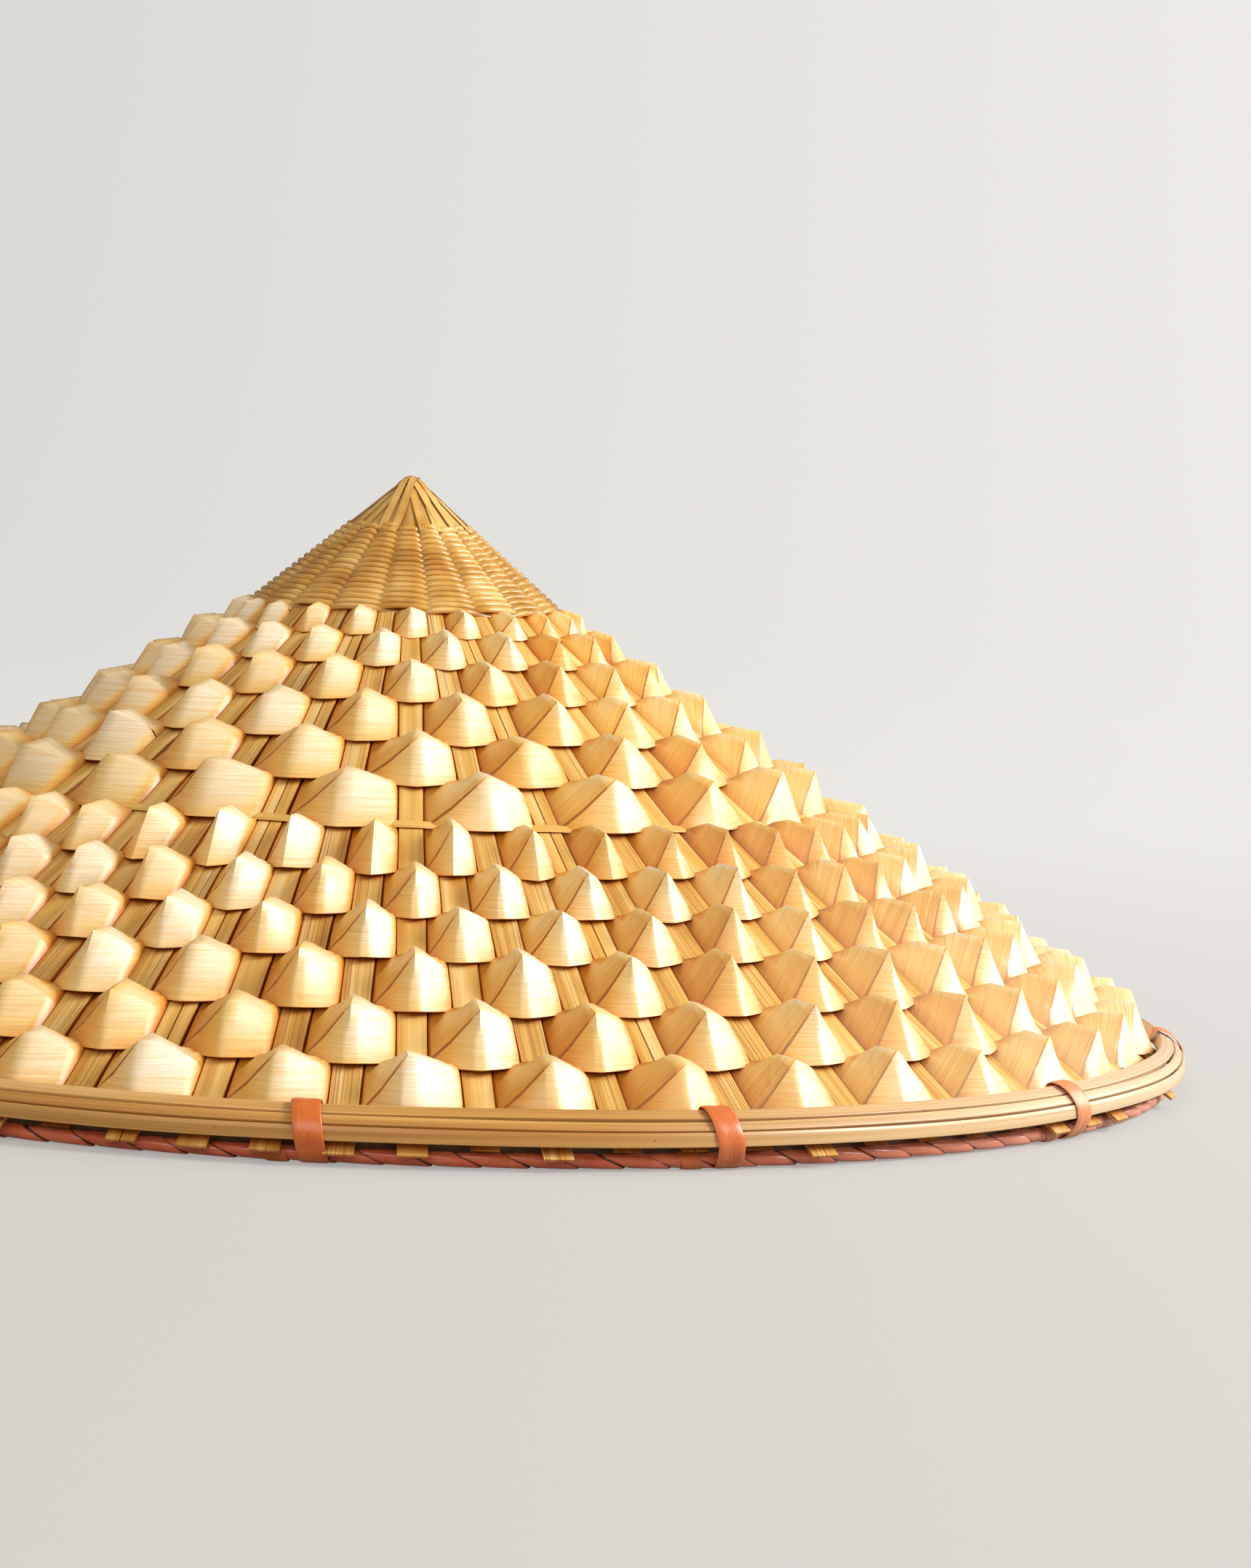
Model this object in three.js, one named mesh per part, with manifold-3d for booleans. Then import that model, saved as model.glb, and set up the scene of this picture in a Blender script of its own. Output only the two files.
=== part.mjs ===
// Conical woven hat: split-bamboo stakes running from the apex to a hooped rim, a fine weft cap at the
// top, twelve rings of wide ribbon folded into raised points, a tied and wrapped rim, a lining and a
// head ring. Millimetres, +Z up through the apex, the hat resting on its rim ties at z = 0.
import * as THREE from "three";
import Module from "manifold-3d";

const wasm = await Module();
wasm.setup();

// ---------------------------------------------------------------- driving dimensions
const APEX_Z = 148.7; // top of the stakes at the axis
const CAP_R = 46.6; // the steep cap's slope ends here
const MID_R = 111.5; // the inserted stakes begin here
const RIM_R = 202.65; // where the hoops clamp the stakes
const CAP_Z = 109.65; // stake height at those three radii
const MID_Z = 65.75;
const RIM_Z = 8.0;
const STAKE_END_R = 208.6; // the stakes' cut ends, just inside the lowest hoop

const STAKE_COUNT = 44; // stakes that run from the apex
const STAKE_T = 0.8;
const HUB_R = 8.0; // the stakes run together inside this radius
const STAKE_W_HUB = 1.14; // stake width at the hub, at the end of the cap, mid way and at the rim
const STAKE_W_CAP = 3.4;
const STAKE_W_MID = 5.6;
const STAKE_W_RIM = 6.2;

const GAP = 0.25; // half the gap left between neighbouring ribbon rings
const RIBBON_UNDER = -1.75; // underside of a ribbon where it passes beneath a stake
const RIBBON_T = 0.6;
const PEAK_AT = 0.62; // where the raised point stands across the ribbon's width
const UPPER_ROWS = [39.0, 46.6, 57.0, 69.0, 82.5, 96.0, 109.8]; // radii between the upper rings
const UPPER_HEIGHTS = [3.6, 5.2, 6.2, 6.8, 7.2, 8.6]; // the raised points' height off the cone
const LOWER_ROWS = [113.4, 125.5, 139.0, 152.5, 168.0, 183.5, 197.3];
const LOWER_HEIGHTS = [7.0, 7.2, 7.4, 7.8, 8.0, 7.8];

const WEFT_START_R = 15.0; // fine weft wound round the cap
const WEFT_END_R = 38.2;
const WEFT_RIDGES = 4;
const PAIR_START_R = 110.6; // strip that ties in the inserted stakes
const PAIR_END_R = 112.7;

const LINING_OUT = -3.0; // leaf lining, measured off the cone
const LINING_IN = -3.9;
const LINING_END_R = 199.5;

const CORE_R = 204.6; // core of the wrapped rim hoop
const CORE_Z = 2.85;
const CORE_HALF = 0.85;
const WRAP_OUT = 2.0;
const WRAP_IN = 1.6;

const BAND_W = 6.4; // rim ties
const BAND_T = 0.6;
const BAND_PLACES = [-1, 5, 13, 21, 28, 35, 43, 49, 57, 65, 72, 79]; // numbered gaps between stakes

const RING_IN = 88.0; // head ring
const RING_OUT = 89.6;
const RING_LOW = 40.0;
const RING_HIGH = 75.2;
const RING_TIES = 6;
const RING_TIE_W = 4.0;
const RING_TIE_T = 0.5;

// ---------------------------------------------------------------- angles and the cone
const PITCH = (2 * Math.PI) / STAKE_COUNT;
const HALF_PITCH = PITCH / 2;
const FIRST_STAKE = HALF_PITCH / 2; // gaps between stakes fall on whole half pitches
const FIRST_CORNER = FIRST_STAKE + HALF_PITCH; // facets of every ring sit square over a stake

const zones = [
  { r: 0, z: APEX_Z, slope: (APEX_Z - CAP_Z) / CAP_R },
  { r: CAP_R, z: CAP_Z, slope: (CAP_Z - MID_Z) / (MID_R - CAP_R) },
  { r: MID_R, z: MID_Z, slope: (MID_Z - RIM_Z) / (RIM_R - MID_R) },
];

function zoneAt(r) {
  if (r < CAP_R - 0.001) return zones[0];
  return r < MID_R - 0.001 ? zones[1] : zones[2];
}

// A point standing n off the cone's surface above radius r, in the slope of the given zone.
function onCone(r, n, zone = zoneAt(r)) {
  const tilt = Math.atan(zone.slope);
  const z = zone.z - zone.slope * (r - zone.r);
  return [r + n * Math.sin(tilt), z + n * Math.cos(tilt)];
}

// The height of a surface that runs n off the cone, above radius r.
function heightAt(r, n, zone = zoneAt(r)) {
  return zone.z - zone.slope * (r - zone.r) + n / Math.cos(Math.atan(zone.slope));
}

// Azimuth 0 is -Y and it grows towards +X; side shifts along the tangent.
function place(azimuth, r, z, side = 0) {
  const s = Math.sin(azimuth);
  const c = Math.cos(azimuth);
  return [r * s + side * c, -r * c + side * s, z];
}

function stakeHalfWidth(r) {
  if (r < CAP_R) {
    return (STAKE_W_HUB + ((STAKE_W_CAP - STAKE_W_HUB) * (r - HUB_R)) / (CAP_R - HUB_R)) / 2;
  }
  if (r < MID_R) {
    return (STAKE_W_CAP + ((STAKE_W_MID - STAKE_W_CAP) * (r - CAP_R)) / (MID_R - CAP_R)) / 2;
  }
  return (STAKE_W_MID + ((STAKE_W_RIM - STAKE_W_MID) * (r - MID_R)) / (STAKE_END_R - MID_R)) / 2;
}

// ---------------------------------------------------------------- mesh building
function geometryOf(points, faces) {
  const geometry = new THREE.BufferGeometry();
  geometry.setAttribute("position", new THREE.Float32BufferAttribute(points.flat(), 3));
  geometry.setIndex(faces.flat());
  return geometry;
}

// A closed profile, anticlockwise in (radius, height), swept once round the axis.
function revolve(profile, count = STAKE_COUNT, start = FIRST_CORNER) {
  const points = [];
  const rows = profile.map(([r, z]) => {
    if (r === 0) {
      points.push([0, 0, z]);
      return Array(count).fill(points.length - 1);
    }
    const row = [];
    for (let i = 0; i < count; i += 1) {
      points.push(place(start + (i * 2 * Math.PI) / count, r, z));
      row.push(points.length - 1);
    }
    return row;
  });
  const faces = [];
  for (let j = 0; j < profile.length; j += 1) {
    const near = rows[j];
    const far = rows[(j + 1) % profile.length];
    for (let i = 0; i < count; i += 1) {
      const next = (i + 1) % count;
      const [a, b, c, d] = [near[i], far[i], far[next], near[next]];
      if (a !== d) faces.push([a, d, c]);
      if (b !== c) faces.push([a, c, b]);
    }
  }
  return geometryOf(points, faces);
}

function toManifold(geometry) {
  const vertProperties = new Float32Array(geometry.getAttribute("position").array);
  const triVerts = new Uint32Array(geometry.getIndex().array);
  return new wasm.Manifold(new wasm.Mesh({ numProp: 3, vertProperties, triVerts }));
}

function fromManifold(solid) {
  const mesh = solid.getMesh();
  const geometry = new THREE.BufferGeometry();
  geometry.setAttribute("position", new THREE.Float32BufferAttribute(mesh.vertProperties, 3));
  geometry.setIndex(Array.from(mesh.triVerts));
  return geometry;
}

// A flat outline in (radius, height), anticlockwise, given a width across the radial plane.
function slab(outline, azimuth, width, hole = []) {
  const shape = new THREE.Shape(outline.map(([r, z]) => new THREE.Vector2(r, z)));
  if (hole.length) {
    shape.holes.push(new THREE.Path(hole.map(([r, z]) => new THREE.Vector2(r, z))));
  }
  const flat = new THREE.ExtrudeGeometry(shape, { depth: width, bevelEnabled: false, steps: 1 });
  flat.translate(0, 0, -width / 2);
  const out = new THREE.Vector3(Math.sin(azimuth), -Math.cos(azimuth), 0);
  const up = new THREE.Vector3(0, 0, 1);
  const across = new THREE.Vector3().crossVectors(out, up);
  flat.applyMatrix4(new THREE.Matrix4().makeBasis(out, up, across));
  return flat;
}

// Merge a non-indexed geometry's corners so that it can be joined to others.
function welded(geometry) {
  const source = geometry.index ? geometry.toNonIndexed() : geometry;
  const position = source.getAttribute("position");
  const seen = new Map();
  const points = [];
  const corners = [];
  for (let i = 0; i < position.count; i += 1) {
    const point = [position.getX(i), position.getY(i), position.getZ(i)];
    const key = point.map((v) => Math.round(v * 1e4)).join(",");
    if (!seen.has(key)) {
      seen.set(key, points.length);
      points.push(point);
    }
    corners.push(seen.get(key));
  }
  return geometryOf(points, corners);
}

// ---------------------------------------------------------------- stakes
// The stakes from the apex: tapering flat strips that share one small cone at the top.
function mainStakes() {
  const points = [
    [0, 0, APEX_Z],
    [0, 0, APEX_Z - STAKE_T / Math.cos(Math.atan(zones[0].slope))],
  ];
  const faces = [];
  const hub = [];
  for (let i = 0; i < STAKE_COUNT; i += 1) {
    const azimuth = FIRST_STAKE + (i - 0.5) * PITCH;
    const [outR, outZ] = onCone(HUB_R, 0);
    hub.push(points.length);
    points.push(place(azimuth, outR, outZ));
    points.push(place(azimuth, outR, outZ - STAKE_T / Math.cos(Math.atan(zones[0].slope))));
  }
  const stations = [
    [CAP_R, zones[1]],
    [MID_R, zones[2]],
    [STAKE_END_R, zones[2]],
  ];
  for (let i = 0; i < STAKE_COUNT; i += 1) {
    const azimuth = FIRST_STAKE + i * PITCH;
    const left = hub[i];
    const right = hub[(i + 1) % STAKE_COUNT];
    faces.push([0, left, right], [1, right + 1, left + 1]);
    let before = [left, right, right + 1, left + 1];
    for (const [r, zone] of stations) {
      const half = stakeHalfWidth(r);
      const top = heightAt(r, 0, zone);
      const low = top - STAKE_T / Math.cos(Math.atan(zone.slope));
      const base = points.length;
      points.push(place(azimuth, r, top, -half), place(azimuth, r, top, half));
      points.push(place(azimuth, r, low, half), place(azimuth, r, low, -half));
      const now = [base, base + 1, base + 2, base + 3];
      for (let k = 0; k < 4; k += 1) {
        const next = (k + 1) % 4;
        faces.push([before[k], now[k], now[next]], [before[k], now[next], before[next]]);
      }
      // The hub closes the inner end, so its vertical side needs no wall.
      before = now;
    }
    faces.push([before[0], before[3], before[2]], [before[0], before[2], before[1]]);
  }
  return geometryOf(points, faces);
}

// The stakes let in half way down, hung from the strip that ties them to the others.
function insertedStakes() {
  const zone = zones[2];
  const inner = zones[1];
  const ringLow = 0.5;
  const ringHigh = 1.1;
  let whole = toManifold(
    revolve([
      [PAIR_START_R, heightAt(PAIR_START_R, ringLow, zone)],
      [PAIR_END_R, heightAt(PAIR_END_R, ringLow, zone)],
      [PAIR_END_R, heightAt(PAIR_END_R, ringHigh, zone)],
      [PAIR_START_R, heightAt(PAIR_START_R, ringHigh, zone)],
    ]),
  );
  const start = PAIR_START_R + 0.3;
  const step = PAIR_END_R - 0.4;
  const low = -STAKE_T;
  const outline = [
    [start, heightAt(start, low, inner)],
    [STAKE_END_R, heightAt(STAKE_END_R, low, zone)],
    [STAKE_END_R, heightAt(STAKE_END_R, 0, zone)],
    [step, heightAt(step, 0, zone)],
    [step, heightAt(step, 0.8, zone)],
    [start, heightAt(start, 0.8, zone)],
  ];
  for (let i = 0; i < STAKE_COUNT; i += 1) {
    const stake = slab(outline, FIRST_CORNER + i * PITCH, STAKE_W_MID + 0.2);
    whole = whole.add(toManifold(welded(stake)));
  }
  return fromManifold(whole);
}

// ---------------------------------------------------------------- ribbons
// One ring of ribbon: beneath one stake, then folded to a raised point over the next. Its section is a
// thin triangle: upper edge, lower edge and crease.
function ribbonRing(top, bottom, height, firstUnder, period, under) {
  const zone = zoneAt((top + bottom) / 2);
  const edges = [top + GAP, bottom - GAP];
  const crease = top + PEAK_AT * (bottom - top);
  const middle = (top + bottom) / 2;
  const turn = (stakeHalfWidth(top) + 0.3) / top;
  const spread = period / 2;
  // The folded part rides high enough to clear the stake's two edges.
  const rides = edges.map((r) => {
    const clear = (spread - turn - (stakeHalfWidth(r) + 0.2) / r) / (spread - turn);
    return Math.max(1.0, (0.4 - RIBBON_UNDER) / clear + RIBBON_UNDER);
  });
  const points = [];
  const count = Math.round((2 * Math.PI) / period);
  for (let i = 0; i < count; i += 1) {
    const centre = firstUnder + i * period;
    for (const azimuth of [centre - turn, centre + turn]) {
      points.push(place(azimuth, ...onCone(edges[0], under, zone)));
      points.push(place(azimuth, ...onCone(edges[1], under, zone)));
      points.push(place(azimuth, ...onCone(middle, under + RIBBON_T, zone)));
    }
    points.push(place(centre + spread, ...onCone(edges[0], rides[0], zone)));
    points.push(place(centre + spread, ...onCone(edges[1], rides[1], zone)));
    points.push(place(centre + spread, ...onCone(crease, height, zone)));
  }
  const faces = [];
  const stations = count * 3;
  for (let i = 0; i < stations; i += 1) {
    const here = i * 3;
    const there = ((i + 1) % stations) * 3;
    const rising = i % 3 === 1;
    for (let k = 0; k < 3; k += 1) {
      const next = (k + 1) % 3;
      const [a, b, c, d] = [here + k, here + next, there + next, there + k];
      // Each fold runs from the point down to the ribbon's lower corners.
      const swap = (k === 2) === rising && k !== 0;
      if (swap) faces.push([a, d, b], [d, c, b]);
      else faces.push([a, d, c], [a, c, b]);
    }
  }
  return geometryOf(points, faces);
}

function ribbonRings(name, rows, heights, firstUnder, period) {
  const rings = [];
  for (let i = 0; i + 1 < rows.length; i += 1) {
    const start = firstUnder + ((i % 2) * period) / 2;
    rings.push([`${name}_${i + 1}`,
      ribbonRing(rows[i], rows[i + 1], heights[i], start, period, RIBBON_UNDER)]);
  }
  return rings;
}

// ---------------------------------------------------------------- cap, rim, lining, head ring
function weftCap() {
  const zone = zones[0];
  const profile = [onCone(WEFT_START_R, 0.4, zone), onCone(WEFT_END_R, 0.4, zone)];
  const step = (WEFT_END_R - WEFT_START_R) / WEFT_RIDGES;
  for (let i = WEFT_RIDGES; i > 0; i -= 1) {
    profile.push(onCone(WEFT_START_R + i * step, 0.9, zone));
    profile.push(onCone(WEFT_START_R + (i - 0.5) * step, 1.5, zone));
  }
  profile.push(onCone(WEFT_START_R, 0.9, zone));
  return revolve(profile);
}

const HOOP_UPPER = [[202.6, 9.7], [205.6, 8.5], [206.9, 11.9], [203.6, 13.1]];
const HOOP_MIDDLE = [[206.6, 9.4], [207.6, 7.9], [209.4, 8.5], [207.3, 11.6]];
const HOOP_LOWER = [[207.9, 7.4], [208.2, 5.7], [210.0, 5.9], [209.5, 8.1]];

function rimCore() {
  const h = CORE_HALF;
  return revolve([
    [CORE_R - h, CORE_Z - h],
    [CORE_R + h, CORE_Z - h],
    [CORE_R + h, CORE_Z + h],
    [CORE_R - h, CORE_Z + h],
  ]);
}

// The wrapping round the core, open along a slit at the top where its turns tuck in.
function rimWrap() {
  const turns = [110, 180, 240, 300, 360, 430];
  const at = (degrees, radius) => {
    const angle = THREE.MathUtils.degToRad(degrees);
    return [CORE_R + radius * Math.cos(angle), CORE_Z + radius * Math.sin(angle)];
  };
  const outside = turns.map((degrees) => at(degrees, WRAP_OUT));
  const inside = turns.map((degrees) => at(degrees, WRAP_IN)).reverse();
  return revolve([...outside, ...inside]);
}

// A tie looped round hoops, stakes and wrapped hoop, through a gap between two stakes.
const BAND_LOOP = [
  [201.7, 2.0], [203.2, BAND_T], [205.8, BAND_T], [207.7, 1.4], [210.4, 5.8], [209.9, 8.8],
  [207.3, 12.5], [203.4, 13.7], [201.7, 12.7],
];

function grown(outline, distance) {
  const count = outline.length;
  return outline.map((point, i) => {
    const before = outline[(i + count - 1) % count];
    const after = outline[(i + 1) % count];
    const normal = ([ax, ay], [bx, by]) => {
      const length = Math.hypot(bx - ax, by - ay);
      return [(by - ay) / length, (ax - bx) / length];
    };
    const [n1, n2] = [normal(before, point), normal(point, after)];
    const share = distance / (1 + n1[0] * n2[0] + n1[1] * n2[1]);
    return [point[0] + (n1[0] + n2[0]) * share, point[1] + (n1[1] + n2[1]) * share];
  });
}

function rimTies() {
  const outer = grown(BAND_LOOP, BAND_T);
  return BAND_PLACES.map((gap, i) => [
    `tie_band_${String(i + 1).padStart(2, "0")}`,
    slab(outer, gap * HALF_PITCH, BAND_W, BAND_LOOP),
  ]);
}

// The head ring's ties pass through one slot in the ring and two in the lining.
const TIE_IN = RING_IN - 1.0; // faces of the tie loop's two upright legs
const TIE_OUT = RING_OUT + 0.9;
const TIE_LOW = 68.5;

function ringTies() {
  const [ringTieIn, ringTieOut] = [TIE_IN - RING_TIE_T, TIE_OUT + RING_TIE_T];
  const ties = [];
  for (let i = 0; i < RING_TIES; i += 1) {
    const outline = [
      [ringTieIn, TIE_LOW - RING_TIE_T],
      [ringTieOut, TIE_LOW - RING_TIE_T],
      [ringTieOut, heightAt(ringTieOut, -2.2)],
      [ringTieIn, heightAt(ringTieIn, -2.2)],
    ];
    const hole = [
      [TIE_IN, TIE_LOW],
      [TIE_OUT, TIE_LOW],
      [TIE_OUT, heightAt(TIE_OUT, -2.7)],
      [TIE_IN, heightAt(TIE_IN, -2.7)],
    ];
    ties.push([`ring_tie_${i + 1}`, slab(outline, (i * 2 * Math.PI) / RING_TIES, RING_TIE_W, hole)]);
  }
  return ties;
}

function slot(azimuth, low, high) {
  const box = slab([[low[0], low[1]], [high[0], low[1]], [high[0], high[1]], [low[0], high[1]]],
    azimuth, RING_TIE_W + 0.8);
  return toManifold(welded(box));
}

function lining() {
  const ends = [CAP_R, MID_R, LINING_END_R];
  const zonesInside = [zones[1], zones[2], zones[2]];
  const inside = ends.map((r, i) => [r, heightAt(r, LINING_IN, zonesInside[i])]);
  const outside = ends.map((r, i) => [r, heightAt(r, LINING_OUT, zonesInside[i])]).reverse();
  const profile = [[0, heightAt(0, LINING_IN)], ...inside, ...outside, [0, heightAt(0, LINING_OUT)]];
  let solid = toManifold(revolve(profile));
  for (let i = 0; i < RING_TIES; i += 1) {
    const azimuth = (i * 2 * Math.PI) / RING_TIES;
    const inner = TIE_IN - RING_TIE_T - 0.35;
    const outer = TIE_OUT - 0.35;
    solid = solid.subtract(slot(azimuth, [inner, 60], [inner + 1.2, 90]));
    solid = solid.subtract(slot(azimuth, [outer, 60], [outer + 1.2, 90]));
  }
  return fromManifold(solid);
}

function headRing() {
  let solid = toManifold(
    revolve([[RING_IN, RING_LOW], [RING_OUT, RING_LOW], [RING_OUT, RING_HIGH], [RING_IN, RING_HIGH]]),
  );
  for (let i = 0; i < RING_TIES; i += 1) {
    const azimuth = (i * 2 * Math.PI) / RING_TIES;
    solid = solid.subtract(slot(azimuth, [RING_IN - 3, TIE_LOW - 0.9], [RING_OUT + 3, TIE_LOW + 0.4]));
  }
  return fromManifold(solid);
}

// ---------------------------------------------------------------- the hat
function finish(colour, roughness) {
  return new THREE.MeshStandardMaterial({ color: colour, roughness, metalness: 0 });
}

const ribbonFinish = finish(0xeedcb0, 0.45);
const stakeFinish = finish(0xd9b478, 0.55);
const capFinish = finish(0xd9a850, 0.4);
const hoopFinish = finish(0xc49a5c, 0.5);
const wrapFinish = finish(0xb85c44, 0.45);
const tieFinish = finish(0xd9683a, 0.4);
const coreFinish = finish(0xcaa468, 0.7);
const liningFinish = finish(0xb89a5e, 0.85);
const ringFinish = finish(0xd2ab6a, 0.6);

const hat = new THREE.Group();
hat.name = "conical_hat";

function add(name, geometry, material) {
  const mesh = new THREE.Mesh(geometry, material);
  mesh.name = name;
  hat.add(mesh);
}

add("stakes_main", mainStakes(), stakeFinish);
add("stakes_inserted", insertedStakes(), stakeFinish);
add("weft_cap", weftCap(), capFinish);
const upperUnder = FIRST_STAKE + PITCH;
for (const [name, ring] of ribbonRings("ribbon_upper", UPPER_ROWS, UPPER_HEIGHTS, upperUnder, 2 * PITCH)) {
  add(name, ring, ribbonFinish);
}
for (const [name, ring] of ribbonRings("ribbon_lower", LOWER_ROWS, LOWER_HEIGHTS, FIRST_STAKE, PITCH)) {
  add(name, ring, ribbonFinish);
}
add("hoop_upper", revolve(HOOP_UPPER), hoopFinish);
add("hoop_middle", revolve(HOOP_MIDDLE), hoopFinish);
add("hoop_lower", revolve(HOOP_LOWER), hoopFinish);
add("rim_core", rimCore(), coreFinish);
add("rim_wrap", rimWrap(), wrapFinish);
for (const [name, tie] of rimTies()) add(name, tie, tieFinish);
add("lining", lining(), liningFinish);
add("head_ring", headRing(), ringFinish);
for (const [name, tie] of ringTies()) add(name, tie, coreFinish);

export default hat;
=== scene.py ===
import math
import random

import bpy
from mathutils import Matrix, Vector


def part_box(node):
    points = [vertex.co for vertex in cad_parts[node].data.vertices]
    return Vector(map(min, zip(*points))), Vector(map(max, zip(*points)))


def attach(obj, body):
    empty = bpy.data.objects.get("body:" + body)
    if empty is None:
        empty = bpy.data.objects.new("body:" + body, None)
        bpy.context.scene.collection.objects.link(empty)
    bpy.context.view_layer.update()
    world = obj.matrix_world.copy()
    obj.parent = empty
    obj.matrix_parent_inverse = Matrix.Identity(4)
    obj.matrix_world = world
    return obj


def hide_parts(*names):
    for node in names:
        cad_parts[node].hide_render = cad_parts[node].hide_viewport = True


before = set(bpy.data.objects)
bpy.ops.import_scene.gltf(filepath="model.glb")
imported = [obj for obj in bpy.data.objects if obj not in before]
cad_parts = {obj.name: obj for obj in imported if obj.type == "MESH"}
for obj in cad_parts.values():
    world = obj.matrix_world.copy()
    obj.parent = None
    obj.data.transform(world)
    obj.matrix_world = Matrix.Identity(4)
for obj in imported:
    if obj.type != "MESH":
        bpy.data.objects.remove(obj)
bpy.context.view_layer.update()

chance = random.Random(7)
MM = 0.001

# The hat's cone, in millimetres: its height at the apex, where its slope changes, and at the rim.
APEX_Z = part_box("stakes_main")[1].z / MM
CAP_EDGE, CAP_EDGE_Z = 46.6, 109.65
LET_IN, LET_IN_Z = 111.5, 65.75
RIM_EDGE, RIM_EDGE_Z = 202.65, 8.0
SLOPES = [(0.0, APEX_Z, CAP_EDGE, CAP_EDGE_Z),
          (CAP_EDGE, CAP_EDGE_Z, LET_IN, LET_IN_Z),
          (LET_IN, LET_IN_Z, RIM_EDGE, RIM_EDGE_Z)]
STAKES = 44
STEP = 2 * math.pi / STAKES
FIRST_STAKE = STEP / 4
INSERT_START = 110.9
STAKE_END = 208.2
FRONT_SPREAD = math.radians(3.4)

# Rows of ribbon: the radii between them, and how far each row's points stand off the cone.
UPPER_ROWS = [39.4, 46.6, 57.0, 69.0, 82.5, 96.0, 110.2]
UPPER_HEIGHTS = [3.7, 5.4, 6.5, 7.1, 7.8, 9.3]
LOWER_ROWS = [111.2, 125.5, 139.0, 152.5, 168.0, 183.5, 197.6]
LOWER_HEIGHTS = [7.9, 8.2, 8.5, 9.0, 9.3, 9.0]
RIBBON_UNDER = 1.9
RIBBON_THICK = 0.4
# Metres of grain laid along the rim for each radian round the axis.
GRAIN_ROUND = 0.208


# ------------------------------------------------------------------ the cone
def slope_at(radius):
    for low, low_z, high, high_z in SLOPES:
        if radius < high or high == RIM_EDGE:
            return low, low_z, (low_z - high_z) / (high - low)


def on_cone(azimuth, radius, lift, side=0.0, row_middle=None):
    """A point lift off the cone. Azimuth 0 is the front, -Y, and it grows towards +X."""
    low, low_z, slope = slope_at(radius if row_middle is None else row_middle)
    tilt = math.atan(slope)
    out = radius + lift * math.sin(tilt)
    height = low_z - slope * (radius - low) + lift * math.cos(tilt)
    east, south = math.sin(azimuth), math.cos(azimuth)
    return Vector((out * east + side * south, -out * south + side * east, height)) * MM


def spread(azimuth):
    """The stakes stand a little wider apart at the front of the hat than at the back."""
    return azimuth + math.radians(0.35) + FRONT_SPREAD * math.sin(azimuth)


def stake_half(radius):
    """Half a stake's width, which grows from the apex to the rim."""
    if radius < CAP_EDGE:
        return 1.1 + 1.1 * radius / CAP_EDGE
    if radius < LET_IN:
        return 2.2 + 0.7 * min(1.0, (radius - CAP_EDGE) / 22)
    return 2.9 + 0.45 * min(1.0, (radius - LET_IN) / 30)


def azimuth_of(point):
    return math.atan2(point.x, -point.y)


def out_from_axis(point):
    return math.hypot(point.x, point.y)


def nearest_turn(angle, to):
    """The same angle, a whole turn on or back where that brings it nearer."""
    if angle - to > math.pi:
        return angle - 2 * math.pi
    if to - angle > math.pi:
        return angle + 2 * math.pi
    return angle


# ------------------------------------------------------------------ workshop helpers
def clear_selection():
    if bpy.context.object and bpy.context.object.mode != "OBJECT":
        bpy.ops.object.mode_set(mode="OBJECT")
    bpy.ops.object.select_all(action="DESELECT")


def pick(piece):
    clear_selection()
    piece.select_set(True)
    bpy.context.view_layer.objects.active = piece


def added(name):
    """Names the primitive that was just added."""
    piece = bpy.context.object
    piece.name = name
    piece.data.name = name
    return piece


def apply_modifiers(piece):
    pick(piece)
    for modifier in list(piece.modifiers):
        bpy.ops.object.modifier_apply(modifier=modifier.name)


def thicken(piece, millimetres, offset=-1):
    thickness = piece.modifiers.new("thick", "SOLIDIFY")
    thickness.thickness = millimetres * MM
    thickness.offset = offset


def face_outward(piece, weld=0.0):
    """Turns every face outward, first welding points nearer than weld millimetres."""
    pick(piece)
    bpy.ops.object.mode_set(mode="EDIT")
    bpy.ops.mesh.select_all(action="SELECT")
    if weld:
        bpy.ops.mesh.remove_doubles(threshold=weld * MM)
    bpy.ops.mesh.normals_make_consistent(inside=False)
    bpy.ops.object.mode_set(mode="OBJECT")


def cut_across(place, facing):
    """In edit mode, cuts the piece through with a plane."""
    bpy.ops.mesh.select_all(action="SELECT")
    bpy.ops.mesh.bisect(plane_co=place, plane_no=facing)


def grain_layer(piece):
    """The layer that lays the grain on the piece, in metres along and across it."""
    if not piece.data.uv_layers:
        piece.data.uv_layers.new(name="grain")
    piece.data.uv_layers[0].name = "grain"
    return piece.data.uv_layers[0].data


def lay_grain(piece, spots):
    grain = grain_layer(piece)
    for corner, loop in enumerate(piece.data.loops):
        grain[corner].uv = spots[loop.vertex_index]


def somewhere(reach=3):
    """A random start for the grain, so that no two strips show the same."""
    return Vector((chance.uniform(0, reach), chance.uniform(0, reach)))


def join(name, pieces):
    clear_selection()
    for piece in pieces:
        piece.select_set(True)
    bpy.context.view_layer.objects.active = pieces[0]
    if len(pieces) > 1:
        bpy.ops.object.join()
    return added(name)


def copy_of(piece):
    """A copy with a mesh of its own."""
    twin = piece.copy()
    twin.data = piece.data.copy()
    bpy.context.collection.objects.link(twin)
    return twin


def finish_piece(piece, finishes, nodes, angle=35):
    """Gives the piece its finishes, its smoothing angle and the nodes it stands in for."""
    for finish in finishes:
        if finish.name not in piece.data.materials:
            piece.data.materials.append(finish)
    pick(piece)
    bpy.ops.object.shade_smooth_by_angle(angle=math.radians(angle))
    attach(piece, "root")
    if nodes:
        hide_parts(*nodes)
    return piece


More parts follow.
